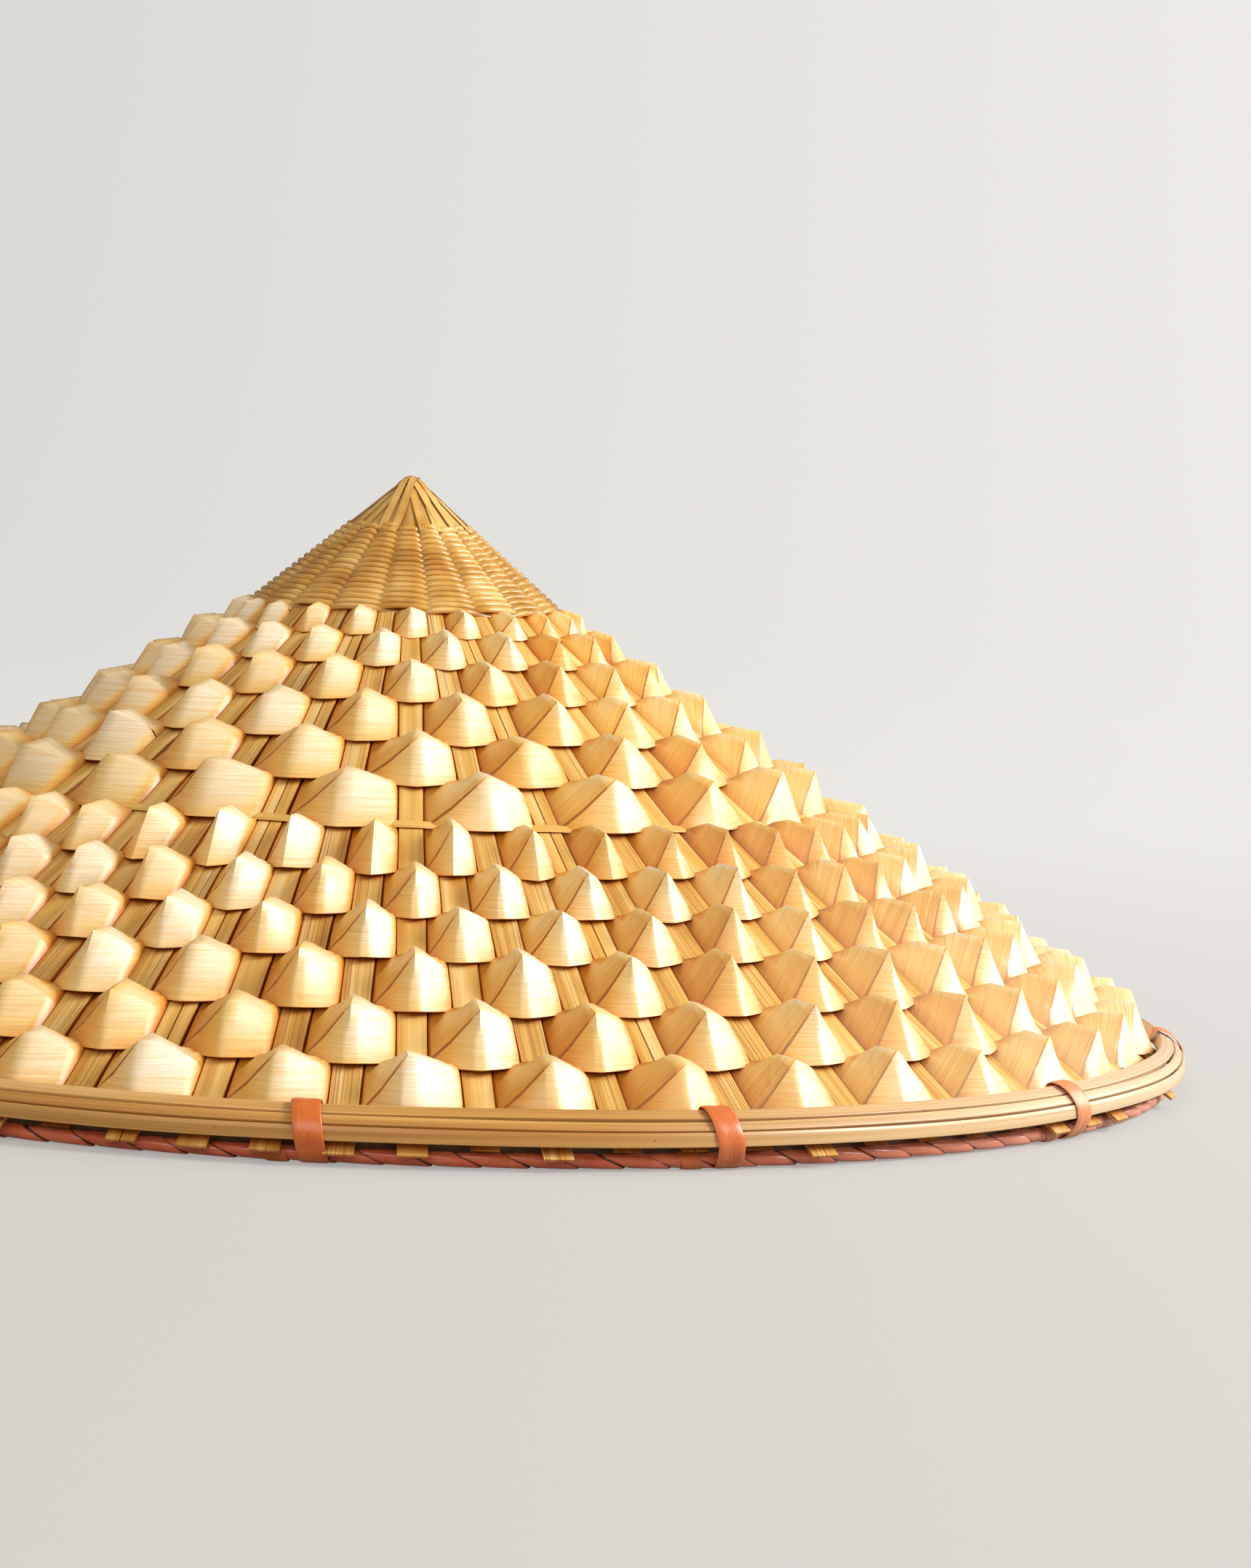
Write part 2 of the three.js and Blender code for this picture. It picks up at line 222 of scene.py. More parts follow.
# ------------------------------------------------------------------ finishes
class Finish:
    """A material and short ways to add its nodes."""

    def __init__(self, name):
        self.material = bpy.data.materials.new(name)
        self.material.use_nodes = True
        self.tree = self.material.node_tree
        self.shader = self.tree.nodes["Principled BSDF"]

    def add(self, kind, values=(), **settings):
        made = self.tree.nodes.new(kind)
        for key, value in settings.items():
            setattr(made, key, value)
        for socket, value in dict(values).items():
            if isinstance(value, bpy.types.NodeSocket):
                self.tree.links.new(value, made.inputs[socket])
            else:
                made.inputs[socket].default_value = value
        return made

    def uv(self, scale):
        where = self.add("ShaderNodeUVMap", uv_map="grain")
        return self.add("ShaderNodeMapping", {0: where.outputs[0], "Scale": scale}).outputs[0]

    def place(self, scale=(1, 1, 1)):
        where = self.add("ShaderNodeTexCoord").outputs["Object"]
        return self.add("ShaderNodeMapping", {0: where, "Scale": scale}).outputs[0]

    def noise(self, vector, scale, detail=3.0, rough=0.5):
        made = self.add("ShaderNodeTexNoise", {"Vector": vector, "Scale": scale, "Detail": detail,
                                               "Roughness": rough})
        return made.outputs["Fac"]

    def ramp(self, factor, *stops):
        made = self.add("ShaderNodeValToRGB", {0: factor})
        cells = made.color_ramp.elements
        while len(cells) < len(stops):
            cells.new(0.5)
        for cell, (at, colour) in zip(cells, stops):
            cell.position = at
            cell.color = (*colour, 1)
        return made.outputs["Color"]

    def mix(self, factor, one, two, kind="MIX"):
        made = self.add("ShaderNodeMix", data_type="RGBA", blend_type=kind)
        for socket, value in ((0, factor), (6, one), (7, two)):
            if isinstance(value, bpy.types.NodeSocket):
                self.tree.links.new(value, made.inputs[socket])
            elif socket == 0:
                made.inputs[0].default_value = value
            else:
                made.inputs[socket].default_value = (*value, 1)
        return made.outputs[2]

    def range(self, value, low, high, to_low=0.0, to_high=1.0):
        made = self.add("ShaderNodeMapRange", {0: value, 1: low, 2: high, 3: to_low, 4: to_high})
        return made.outputs[0]

    def sideways(self, start, full, most):
        """A share that grows across the hat, from none at X = start to most at X = full."""
        side = self.add("ShaderNodeSeparateXYZ", {0: self.place()}).outputs["X"]
        return self.range(side, start, full, 0.0, most)

    def painted_light_share(self, most):
        """A share for painted light: a paler tone towards +X, where the key lamp falls."""
        return self.sideways(0.05, 0.2, most)

    def painted_shade_share(self, most):
        """A share for painted shade: a more golden tone towards -X, away from the key lamp."""
        return self.sideways(-0.03, -0.19, most)

    def painted_crevice_shade(self, body, reach, most, warm):
        """Painted shade: warmer and darker in the crevices, within reach millimetres of another surface."""
        clear = self.add("ShaderNodeAmbientOcclusion", {"Distance": reach * MM}, samples=8).outputs["AO"]
        return self.mix(self.range(clear, 0.8, 0.3, 0.0, most), body, warm, "MULTIPLY")

    def bump(self, height, strength, distance):
        made = self.add("ShaderNodeBump", {"Height": height, "Strength": strength,
                                           "Distance": distance * MM})
        self.tree.links.new(made.outputs[0], self.shader.inputs["Normal"])

    def set(self, **values):
        for name, value in values.items():
            socket = self.shader.inputs[name.replace("_", " ")]
            if isinstance(value, bpy.types.NodeSocket):
                self.tree.links.new(value, socket)
            else:
                socket.default_value = value


def ribbon_finish():
    """Silky shaved bamboo, cream, with fine grain along the ribbon. Painted shade makes it golden where it
    tucks under, creases, faces away from the key lamp, lies towards -X or in crevices; painted light makes
    it paler towards +X.
    """
    f = Finish("silky_ribbon")
    fine = f.noise(f.uv((60, 4600, 1)), 1.0, 3.0, 0.6)
    broad = f.noise(f.uv((12, 1150, 1)), 1.0, 2.0, 0.5)
    tone = f.noise(f.uv((9, 9, 1)), 1.0, 2.0)
    body = f.ramp(broad, (0.26, (0.90, 0.77, 0.55)), (0.46, (0.92, 0.82, 0.64)),
                  (0.7, (0.95, 0.89, 0.77)))
    body = f.mix(f.range(fine, 0.54, 0.34, 0.0, 0.55), body, (0.76, 0.45, 0.15))
    body = f.mix(f.range(tone, 0.4, 0.72, 0.0, 0.6), body, (1.0, 0.87, 0.66), "MULTIPLY")
    # Painted shade: golden to brown where the fold tucks under, lies in a crease or faces away from the key
    # lamp.
    tuck = f.add("ShaderNodeAttribute", attribute_name="tuck").outputs["Fac"]
    warm = f.ramp(tuck, (0.0, (1.0, 1.0, 1.0)), (0.3, (0.97, 0.79, 0.42)),
                  (0.52, (0.90, 0.57, 0.15)), (0.75, (0.74, 0.32, 0.035)),
                  (0.95, (0.38, 0.12, 0.012)))
    # Painted light: the painted shade is paler towards +X, where the key lamp falls.
    warm = f.mix(f.painted_light_share(0.5), warm, (1.0, 0.95, 0.82))
    body = f.mix(1.0, body, warm, "MULTIPLY")
    # Painted shade: more golden towards -X, away from the key lamp.
    body = f.mix(f.painted_shade_share(0.7), body, (0.96, 0.85, 0.62), "MULTIPLY")
    # Painted shade: warmer and darker in the crevices.
    body = f.painted_crevice_shade(body, 6.0, 0.9, (0.68, 0.33, 0.08))
    f.set(Base_Color=body, Roughness=f.range(fine, 0.3, 0.8, 0.30, 0.44))
    f.set(Anisotropic=0.3, Specular_IOR_Level=0.75)
    f.bump(f.mix(0.3, fine, broad), 0.2, 0.15)
    return f.material


def stake_finish(name, grooves):
    """Flat split bamboo. Grooved stakes show the fibres as fine lines along their length."""
    f = Finish(name)
    lines = f.noise(f.uv((6, 2300 if grooves else 1500, 1)), 1.0, 3.0, 0.65)
    wide = f.noise(f.uv((14, 260, 1)), 1.0, 2.0)
    body = f.ramp(wide, (0.3, (0.61, 0.31, 0.05)), (0.52, (0.79, 0.49, 0.13)),
                  (0.74, (0.93, 0.70, 0.32)))
    deep = f.range(lines, 0.50, 0.38, 0.0, 0.85) if grooves else f.range(lines, 0.48, 0.3, 0.0, 0.3)
    body = f.mix(deep, body, (0.42, 0.18, 0.035))
    # Painted shade: warmer and darker in the crevices beside the folds.
    body = f.painted_crevice_shade(body, 9.0, 1.0, (0.64, 0.30, 0.07))
    f.set(Base_Color=body, Roughness=f.range(lines, 0.3, 0.7, 0.5, 0.36))
    f.bump(lines, 0.75 if grooves else 0.25, 0.35)
    return f.material


def cap_finish(name, dark=1.0):
    """Honey-coloured bamboo skin with a soft gloss, and painted shade where the weft dives under a rib and
    on the sides of the apex strips.
    """
    f = Finish(name)
    lines = f.noise(f.uv((30, 1800, 1)), 1.0, 3.0, 0.6)
    patch = f.noise(f.place((95, 95, 40)), 1.0, 2.0)
    stops = ((0.32, (0.50, 0.22, 0.03)), (0.5, (0.70, 0.38, 0.08)), (0.68, (0.84, 0.56, 0.19)))
    body = f.ramp(patch, *((at, tuple(c * dark for c in colour)) for at, colour in stops))
    shade_in_gaps = f.add("ShaderNodeAttribute", attribute_name="tuck").outputs["Fac"]
    # Painted shade: dark where the weft dives under a rib, and on the sides of the apex strips.
    body = f.mix(f.range(shade_in_gaps, 0.3, 0.9, 0.0, 0.92), body, (0.24, 0.085, 0.012))
    body = f.mix(f.range(lines, 0.55, 0.35, 0.0, 0.5), body, (0.45, 0.24, 0.06))
    f.set(Base_Color=body, Roughness=f.range(lines, 0.3, 0.7, 0.30, 0.18), Specular_IOR_Level=0.65)
    f.bump(lines, 0.35, 0.2)
    return f.material


def hoop_finish():
    """Tan bamboo strip with long fibres, small specks and the joints of the cane across it, paler towards
    +X as painted light.
    """
    f = Finish("hoop_bamboo")
    lines = f.noise(f.uv((7, 1500, 1)), 1.0, 4.0, 0.6)
    wide = f.noise(f.uv((5, 260, 1)), 1.0, 2.0)
    specks = f.noise(f.uv((420, 1100, 1)), 1.0, 1.0)
    joint = f.noise(f.uv((14, 1, 1)), 1.0, 1.0, 0.3)
    body = f.ramp(wide, (0.3, (0.45, 0.20, 0.04)), (0.5, (0.61, 0.33, 0.09)),
                  (0.72, (0.76, 0.49, 0.20)))
    body = f.mix(f.range(lines, 0.46, 0.30, 0.0, 0.6), body, (0.30, 0.13, 0.03))
    body = f.mix(f.range(joint, 0.70, 0.78, 0.0, 0.4), body, (0.42, 0.24, 0.10))
    # Painted light: paler towards +X, where the key lamp falls.
    pale = f.mix(f.range(lines, 0.3, 0.6), (0.66, 0.47, 0.28), (0.86, 0.72, 0.54))
    body = f.mix(f.painted_light_share(0.75), body, pale)
    body = f.mix(f.range(specks, 0.76, 0.84, 0.0, 0.9), body, (0.16, 0.08, 0.03))
    f.set(Base_Color=body, Roughness=f.range(lines, 0.3, 0.7, 0.42, 0.28), Specular_IOR_Level=0.55)
    f.bump(lines, 0.3, 0.2)
    return f.material


def dyed_finish(name, light, deep, pale, gloss):
    """Dyed strip: faint fibres, two tones in patches, painted light paler towards +X, and painted shade
    dark at the lapped edges.
    """
    f = Finish(name)
    lines = f.noise(f.uv((60, 1500, 1)), 1.0, 3.0, 0.6)
    patch = f.noise(f.place((120, 120, 120)), 1.0, 3.0, 0.6)
    body = f.mix(f.range(patch, 0.35, 0.7), deep, light)
    # Painted light: paler towards +X, where the key lamp falls.
    body = f.mix(f.painted_light_share(0.65), body, pale)
    body = f.mix(f.range(lines, 0.48, 0.3, 0.0, 0.45), body, tuple(c * 0.5 for c in deep))
    # Painted shade: dark at the lapped edges of the wrap and low on the ties.
    edge = f.add("ShaderNodeAttribute", attribute_name="tuck").outputs["Fac"]
    body = f.mix(f.range(edge, 0.1, 0.9), body, tuple(c * 0.16 for c in deep))
    f.set(Base_Color=body, Roughness=f.range(patch, 0.3, 0.7, gloss, gloss + 0.12))
    f.set(Specular_IOR_Level=0.55)
    f.bump(lines, 0.25, 0.2)
    return f.material


def plain_finish(name, low, high, rough, scale=90):
    """Plain cane, bamboo or leaf, streaked and mottled."""
    f = Finish(name)
    mottled = f.noise(f.place((scale, scale, scale)), 1.0, 5.0, 0.6)
    fine = f.noise(f.place((scale * 7, scale * 7, scale * 2)), 1.0, 3.0, 0.6)
    body = f.mix(f.range(mottled, 0.3, 0.7), low, high)
    body = f.mix(f.range(fine, 0.6, 0.35, 0.0, 0.4), body, tuple(c * 0.5 for c in low))
    f.set(Base_Color=body, Roughness=f.range(fine, 0.3, 0.7, rough, rough + 0.1))
    f.bump(fine, 0.4, 0.3)
    return f.material


LEAVES = 26


def leaf_finish():
    """Dry leaves laid from the crown outwards: long veins, and painted shadow where each laps the next,
    darkest in a line at the lap.
    """
    f = Finish("leaf_lining")
    veins = f.noise(f.uv((900, 16, 1)), 1.0, 3.0, 0.6)
    mottled = f.noise(f.place((45, 45, 45)), 1.0, 4.0, 0.6)
    round_rim = f.add("ShaderNodeSeparateXYZ", {0: f.uv((1, 1, 1))}).outputs["X"]
    per_metre = LEAVES / (2 * math.pi * GRAIN_ROUND)
    turns = f.add("ShaderNodeMath", {0: round_rim, 1: per_metre}, operation="MULTIPLY")
    lap = f.add("ShaderNodeMath", {0: turns.outputs[0]}, operation="FRACT").outputs[0]
    body = f.mix(f.range(mottled, 0.3, 0.7), (0.40, 0.23, 0.075), (0.62, 0.42, 0.18))
    # Painted shadow of the leaf lapped over: darker towards the lap, with a dark line at it.
    body = f.mix(f.range(lap, 0.0, 0.7, 0.4, 0.0), body, (0.30, 0.17, 0.06))
    body = f.mix(f.range(lap, 0.0, 0.05, 0.75, 0.0), body, (0.12, 0.06, 0.02))
    body = f.mix(f.range(veins, 0.5, 0.34, 0.0, 0.45), body, (0.30, 0.16, 0.05))
    f.set(Base_Color=body, Roughness=f.range(veins, 0.3, 0.7, 0.5, 0.66))
    f.bump(f.mix(0.5, veins, lap), 0.5, 0.35)
    return f.material


SILKY = ribbon_finish()
PLAIN_STAKE = stake_finish("plain_stake", False)
GROOVED_STAKE = stake_finish("grooved_stake", True)
CAP_WEFT = cap_finish("cap_weft")
# The ribs are 0.8 as bright as the weft, as painted shade under it.
CAP_RIB = cap_finish("cap_rib", 0.8)
CAP_STRIP = cap_finish("cap_strip")
HOOP = hoop_finish()
# Each dyed strip: its light and deep tones, the paler painted light towards +X, and its gloss.
WRAP = dyed_finish("terracotta_wrap", (0.76, 0.19, 0.09), (0.58, 0.10, 0.04), (0.96, 0.50, 0.34), 0.2)
TIE = dyed_finish("orange_tie", (0.74, 0.19, 0.03), (0.62, 0.12, 0.018), (0.92, 0.44, 0.24), 0.26)
CORE = plain_finish("core_cane", (0.50, 0.34, 0.16), (0.66, 0.48, 0.26), 0.6)
LEAF = leaf_finish()
# Painted shade: the turned-down edge of the lining is near black, for the dark gap under the hoops.
LEAF_EDGE_SHADE = plain_finish("leaf_edge_shade", (0.07, 0.03, 0.012), (0.17, 0.09, 0.035), 0.7, 120)
RING = plain_finish("ring_bamboo", (0.58, 0.40, 0.19), (0.74, 0.57, 0.32), 0.45, 70)


# ------------------------------------------------------------------ ribbons
# Across a fold: under the bare stake, its edge, then over the covered stake to the next bare one.
ACROSS = [-1.0, -1.0, -0.93, -0.56, -0.15, 0.0, 0.22, 0.5, 0.76, 0.93, 1.0, 1.0]
TOP, TREAD, RIDGE, UNDER_CREASE, FRONT, LOW = range(6)
PEAK_COLUMN = 5
LAST_COLUMN = len(ACROSS) - 1
UNDER_LEFT, UNDER_RIGHT = (0, 1), (LAST_COLUMN - 1, LAST_COLUMN)
# The least painted shade on each line down the fold, and in each column across it: over its top, then on
# its front.
# 0 is the cream of the ribbon and 1 the dark painted shade of the deepest crease.
LINE_SHADE = [0.75, 0.1, 0.0, 0.0, 0.04, 0.34]
SIDE_SHADE = [1.0, 1.0, 0.64, 0.42, 0.34, 0.02, 0.0, 0.0, 0.05, 0.38, 1.0, 1.0]
FRONT_SHADE = [1.0, 1.0, 0.64, 0.52, 0.34, 0.15, 0.04, 0.0, 0.05, 0.38, 1.0, 1.0]


def flat_fold():
    """One fold of ribbon before it is folded: a grid from the middle of one bare stake to the next."""
    clear_selection()
    bpy.ops.mesh.primitive_grid_add(x_subdivisions=LAST_COLUMN, y_subdivisions=LOW, size=2)
    fold = added("fold")
    grain_layer(fold)
    fold.data.attributes.new("tuck", "FLOAT", "CORNER")
    return fold


def fold_shape():
    """The small differences between one fold and the next."""
    return {
        "peak": chance.uniform(-0.14, 0.12),
        "peak_down": chance.uniform(0.50, 0.62),
        "height": chance.uniform(0.92, 1.10),
        "crease_low": chance.uniform(0.90, 1.0),
        "corner": chance.uniform(0.30, 0.48),
        "hump": chance.uniform(0.54, 0.68),
        "top_lift": chance.uniform(0.08, 0.16),
        "lip": chance.uniform(0.15, 0.24),
        "hang": chance.uniform(0.19, 0.26),
        "bulge": chance.uniform(0.05, 0.11),
        "lap": chance.uniform(0.05, 0.11),
        "soft": chance.choice((0.0, 0.0, 0.03, 0.07)),
    }


def folded(column, line, shape):
    """Where a point of the flat grid goes: across between the stakes, down the row, and how high."""
    across = ACROSS[column]
    left = across <= 0
    peak, peak_down, corner = shape["peak"], shape["peak_down"], shape["corner"]
    if left:
        t = 1 + across
        where = -1 + (1 + peak) * t
        ridge = -0.2 + 1.2 * t
        ridge_down = shape["crease_low"] + (peak_down - shape["crease_low"]) * t
        tread, tread_down = -0.12 + (0.12 + shape["hump"]) * t ** 0.7, corner - (corner - 0.18) * t
        top = -0.15 + (0.15 + shape["top_lift"]) * t
        low = -0.1 + (0.1 + shape["lip"]) * t
        hang = shape["hang"] * t ** 0.8
        under, under_down = ridge - shape["lap"] * (1.1 - t), ridge_down + 0.055 - 0.03 * t
    else:
        t = across
        where = peak + (1 - peak) * t
        ridge = 1 - 0.78 * t - 0.08 * t ** 3
        ridge_down = peak_down - 0.27 * t + (0.6 * corner - 0.16) * t ** 3
        tread, tread_down = shape["hump"] * (1 - 0.78 * t ** 1.6), 0.18 + (corner - 0.24) * t
        top = shape["top_lift"] * (1 - t) - 0.15 * t
        low = shape["lip"] * (1 - t) + 0.02 * t
        hang = shape["hang"] * (1 - t) ** 0.8 + 0.03 * t
        under, under_down = ridge - 0.012, ridge_down + 0.03
    if column == PEAK_COLUMN:
        ridge -= shape["soft"]
    down, high = {
        TOP: (0.0, top),
        TREAD: (tread_down, tread),
        UNDER_CREASE: (under_down, under),
        RIDGE: (ridge_down, ridge),
        FRONT: (0.45 * ridge_down + 0.55 * (1 + 0.7 * hang), 0.45 * ridge + 0.55 * low
                + shape["bulge"] * (1 - 0.5 * abs(t - 0.8 if left else t))),
        LOW: (1.0 + hang, low),
    }[line]
    if column in UNDER_LEFT + UNDER_RIGHT:
        down, high = -0.03 + 1.08 * line / LOW, -1.0
    return where, down, high


def fold_shade(column, line):
    """How much painted shade a point of the fold gets: most where the ribbon tucks under, lies in a crease
    or faces away from the key lamp.
    """
    shade = max(SIDE_SHADE[column], LINE_SHADE[line])
    # Painted shade on the upper left flap and under its crease, which face away from the key lamp.
    if line in (TREAD, RIDGE) and 1 < column <= PEAK_COLUMN:
        deep = 0.34 if line == TREAD else 0.56
        shade = max(shade, deep if column < PEAK_COLUMN else deep - 0.3)
    if line >= UNDER_CREASE:
        shade = max(shade, FRONT_SHADE[column])
    return shade


def paint_fold(fold, top_grain, front_grain, offset, shades, lean):
    """Lays grain and painted shade: the grain leans on the upper left flap, and a dark line of painted
    shadow lies along the crease below it.
    """
    tuck = fold.data.attributes["tuck"].data
    grain = grain_layer(fold)
    leaning = Matrix.Rotation(lean, 2)
    for face in fold.data.polygons:
        column = face.index % LAST_COLUMN
        line = FRONT - face.index // LAST_COLUMN
        in_crease = line == RIDGE and 1 < column < PEAK_COLUMN
        for corner in face.loop_indices:
            spot = fold.data.loops[corner].vertex_index
            tuck[corner].value = shades[spot]
            # Painted shadow: the strip along the crease under the upper left flap is dark.
            if in_crease:
                tuck[corner].value = 0.9 if column < PEAK_COLUMN - 1 else 0.66
            if line >= RIDGE:
                laid = front_grain[spot]
            elif column < PEAK_COLUMN:
                laid = leaning @ top_grain[spot]
            else:
                laid = top_grain[spot]
            grain[corner].uv = laid + offset


def ribbon_row(name, blank, top, bottom, height, first_bare, period):
    """A ring of ribbon: a copy of the fold over each covered stake, joined end to end."""
    middle = (top + bottom) / 2
    tall = bottom - top
    folds = []
    for i in range(round(2 * math.pi / period)):
        fold = copy_of(blank)
        shape = fold_shape()
        begin, end = spread(first_bare + i * period), spread(first_bare + (i + 1) * period)
        centre, half = (begin + end) / 2, (end - begin) / 2
        offset = somewhere(4)
        tone = chance.uniform(-0.12, 0.18)
        top_grain, front_grain, shades = [], [], []
        for point in fold.data.vertices:
            column = round((point.co.x + 1) * LAST_COLUMN / 2)
            line = round((1 - point.co.y) * LOW / 2)
            where, down, high = folded(column, line, shape)
            radius = top - 0.1 + (tall + 0.3) * down
            if column in (0, LAST_COLUMN):
                turn = math.copysign(half, where)
            elif column in UNDER_LEFT + UNDER_RIGHT:
                turn = math.copysign(half - (stake_half(radius) - 0.25) / radius, where)
            else:
                turn = where * (half - (stake_half(radius) + 0.1) / radius)
            lift = high * height * shape["height"] if high > 0 else high * RIBBON_UNDER
            point.co = on_cone(centre + turn, radius, lift, row_middle=middle)
            top_grain.append(Vector((turn * radius, radius)) * MM)
            front_grain.append(Vector((turn * radius * MM, -point.co.z)))
            shades.append(min(1.0, max(0.0, fold_shade(column, line) + tone)))
        lean = math.atan2((shape["crease_low"] - shape["peak_down"]) * tall, middle * half * 0.75)
        paint_fold(fold, top_grain, front_grain, offset, shades, lean)
        folds.append(fold)
    row = join(name.replace("ribbon", "folds"), folds)
    face_outward(row, 0.2)
    thicken(row, RIBBON_THICK)
    apply_modifiers(row)
    return finish_piece(row, [SILKY], [name], 58)


def ribbons():
    """Both parts of the hat: in each, a row stands half a step on from the row above."""
    blank = flat_fold()
    parts = (("upper", UPPER_ROWS, UPPER_HEIGHTS, FIRST_STAKE + STEP, 2 * STEP),
             ("lower", LOWER_ROWS, LOWER_HEIGHTS, FIRST_STAKE, STEP))
    for part, rows, heights, first_bare, period in parts:
        for i, height in enumerate(heights):
            first = first_bare + (i % 2) * period / 2
            ribbon_row(f"ribbon_{part}_{i + 1}", blank, rows[i], rows[i + 1], height, first, period)
    bpy.data.objects.remove(blank)


# ------------------------------------------------------------------ stakes
def stake_blank(start, end, width, thick=0.8):
    """A flat strip lying along Y, cut across where its slope or width changes, with eased edges."""
    clear_selection()
    middle, length = (start + end) / 2, end - start
    bpy.ops.mesh.primitive_cube_add(size=1, location=(0, middle * MM, -thick / 2 * MM),
                                    scale=(width * MM, length * MM, thick * MM))
    strip = added("strip")
    bpy.ops.object.transform_apply(location=True, rotation=True, scale=True)
    bpy.ops.object.mode_set(mode="EDIT")
    for radius in (30.0, CAP_EDGE, 68.0, LET_IN, 141.5):
        if start + 1 < radius < end - 1:
            cut_across((0, radius * MM, 0), (0, 1, 0))
    bpy.ops.mesh.select_all(action="DESELECT")
    bpy.ops.object.mode_set(mode="OBJECT")
    for edge in strip.data.edges:
        one, two = (strip.data.vertices[v].co for v in edge.vertices)
        edge.select = abs(one.x - two.x) < 1e-6 and one.z > -1e-6 and two.z > -1e-6
    bpy.ops.object.mode_set(mode="EDIT")
    bpy.ops.mesh.select_mode(type="EDGE")
    bpy.ops.mesh.bevel(offset=0.22 * MM, segments=2)
    bpy.ops.mesh.select_mode(type="VERT")
    bpy.ops.object.mode_set(mode="OBJECT")
    grain_layer(strip)
    return strip


def laid_stake(blank, azimuth, width_share=1.0, aside=0.0, lift=0.0, end_trim=0.0):
    """A copy of the strip laid on the cone at its azimuth, as wide as stakes are at each radius."""
    stake = copy_of(blank)
    offset = somewhere()
    half_blank = max(point.co.x for point in blank.data.vertices)
    far = max(point.co.y for point in blank.data.vertices)
    spots = []
    for point in stake.data.vertices:
        radius = point.co.y / MM
        if point.co.y > far - 1e-6:
            radius -= end_trim
        side = (point.co.x / half_blank * width_share + aside) * stake_half(radius)
        spots.append(Vector((radius, side)) * MM + offset)
        point.co = on_cone(azimuth, radius, point.co.z / MM + lift, side)
    lay_grain(stake, spots)
    return stake


def stakes():
    """The long stakes, one in five of them split in two, then the short ones let in between."""
    blank = stake_blank(33.0, STAKE_END, 5.0)
    long_ones = []
    for i in range(STAKES):
        azimuth = spread(FIRST_STAKE + i * STEP)
        trim = chance.choice((-1.9, -1.5, -1.7, 3.4))
        grooved = i % 2 == 1
        if i % 5 == 2:
            made = [laid_stake(blank, azimuth, 0.48, aside, 0.0, trim) for aside in (-0.52, 0.52)]
        else:
            made = [laid_stake(blank, azimuth, 1.0, 0.0, 0.0, trim)]
        for stake in made:
            stake.data.materials.append(GROOVED_STAKE if grooved else PLAIN_STAKE)
        long_ones += made
    finish_piece(join("long_stakes", long_ones), [], ["stakes_main"], 30)
    bpy.data.objects.remove(blank)
    blank = stake_blank(INSERT_START, STAKE_END, 5.6)
    short_ones = []
    for i in range(STAKES):
        azimuth = spread(FIRST_STAKE + (i + 0.5) * STEP)
        trim = chance.choice((-1.8, 3.3, 3.4, 3.2, 3.5))
        stake = laid_stake(blank, azimuth, 1.0, 0.0, -0.05, trim)
        stake.data.materials.append(GROOVED_STAKE if i % 6 else PLAIN_STAKE)
        short_ones.append(stake)
    finish_piece(join("short_stakes", short_ones), [], ["stakes_inserted"], 30)
    bpy.data.objects.remove(blank)


def woven_ring(name, radius, high, thick, waves, phase, low_lift, top_lift, around, square=2.5,
               laid=lambda azimuth: azimuth, pinch=0.0):
    """A ring of weft: a torus flattened on the cone and waved over and under what it crosses."""
    clear_selection()
    bpy.ops.mesh.primitive_torus_add(major_segments=around, minor_segments=8, major_radius=radius * MM,
                                     minor_radius=0.5 * MM, generate_uvs=False)
    ring = added(name)
    tuck = ring.data.attributes.new("tuck", "FLOAT", "POINT").data
    offset = chance.uniform(0, 3)
    spots = []
    wander = chance.uniform(0, 6.28)
    for point in ring.data.vertices:
        azimuth = azimuth_of(point.co)
        swing = math.cos(waves * azimuth + phase)
        swing = math.tanh(square * swing) / math.tanh(square)
        middle = low_lift + (top_lift - low_lift) * (swing + 1) / 2
        # Painted shade: 1 where the weft dives under what it crosses, 0 where it lies over.
        tuck[point.index].value = (1 - swing) / 2
        out = out_from_axis(point.co) / MM - radius
        up = point.co.z / MM
        along = radius + out * high * (1 - pinch * (1 - swing) / 2) + 0.12 * math.sin(5 * azimuth + wander)
        spots.append(Vector((azimuth * radius * MM, out * high * MM)) + Vector((offset, offset)))
        point.co = on_cone(laid(azimuth), along, middle + up * thick, row_middle=radius)
    lay_grain(ring, spots)
    return ring


# ------------------------------------------------------------------ the cap
RIBS = 20
RIB_STEP = 2 * math.pi / RIBS
FIRST_RIB = math.radians(-18)
RIB_MIDDLE, RIB_REACH = 21.2, 18.2
WEFT_START, WEFT_END, WEFT_STEP = 15.2, 40.6, 0.78
# The strips over the apex: how far they reach, the cuts across each half, each pair's turn in
# degrees, and its level, 0 the lowest.
APEX_REACH = 17.5
APEX_CUTS = 9
APEX_TURNS = (-18, 20, 40, 62, 95, 130)
APEX_LEVELS = (5, 2, 4, 1, 3, 0)


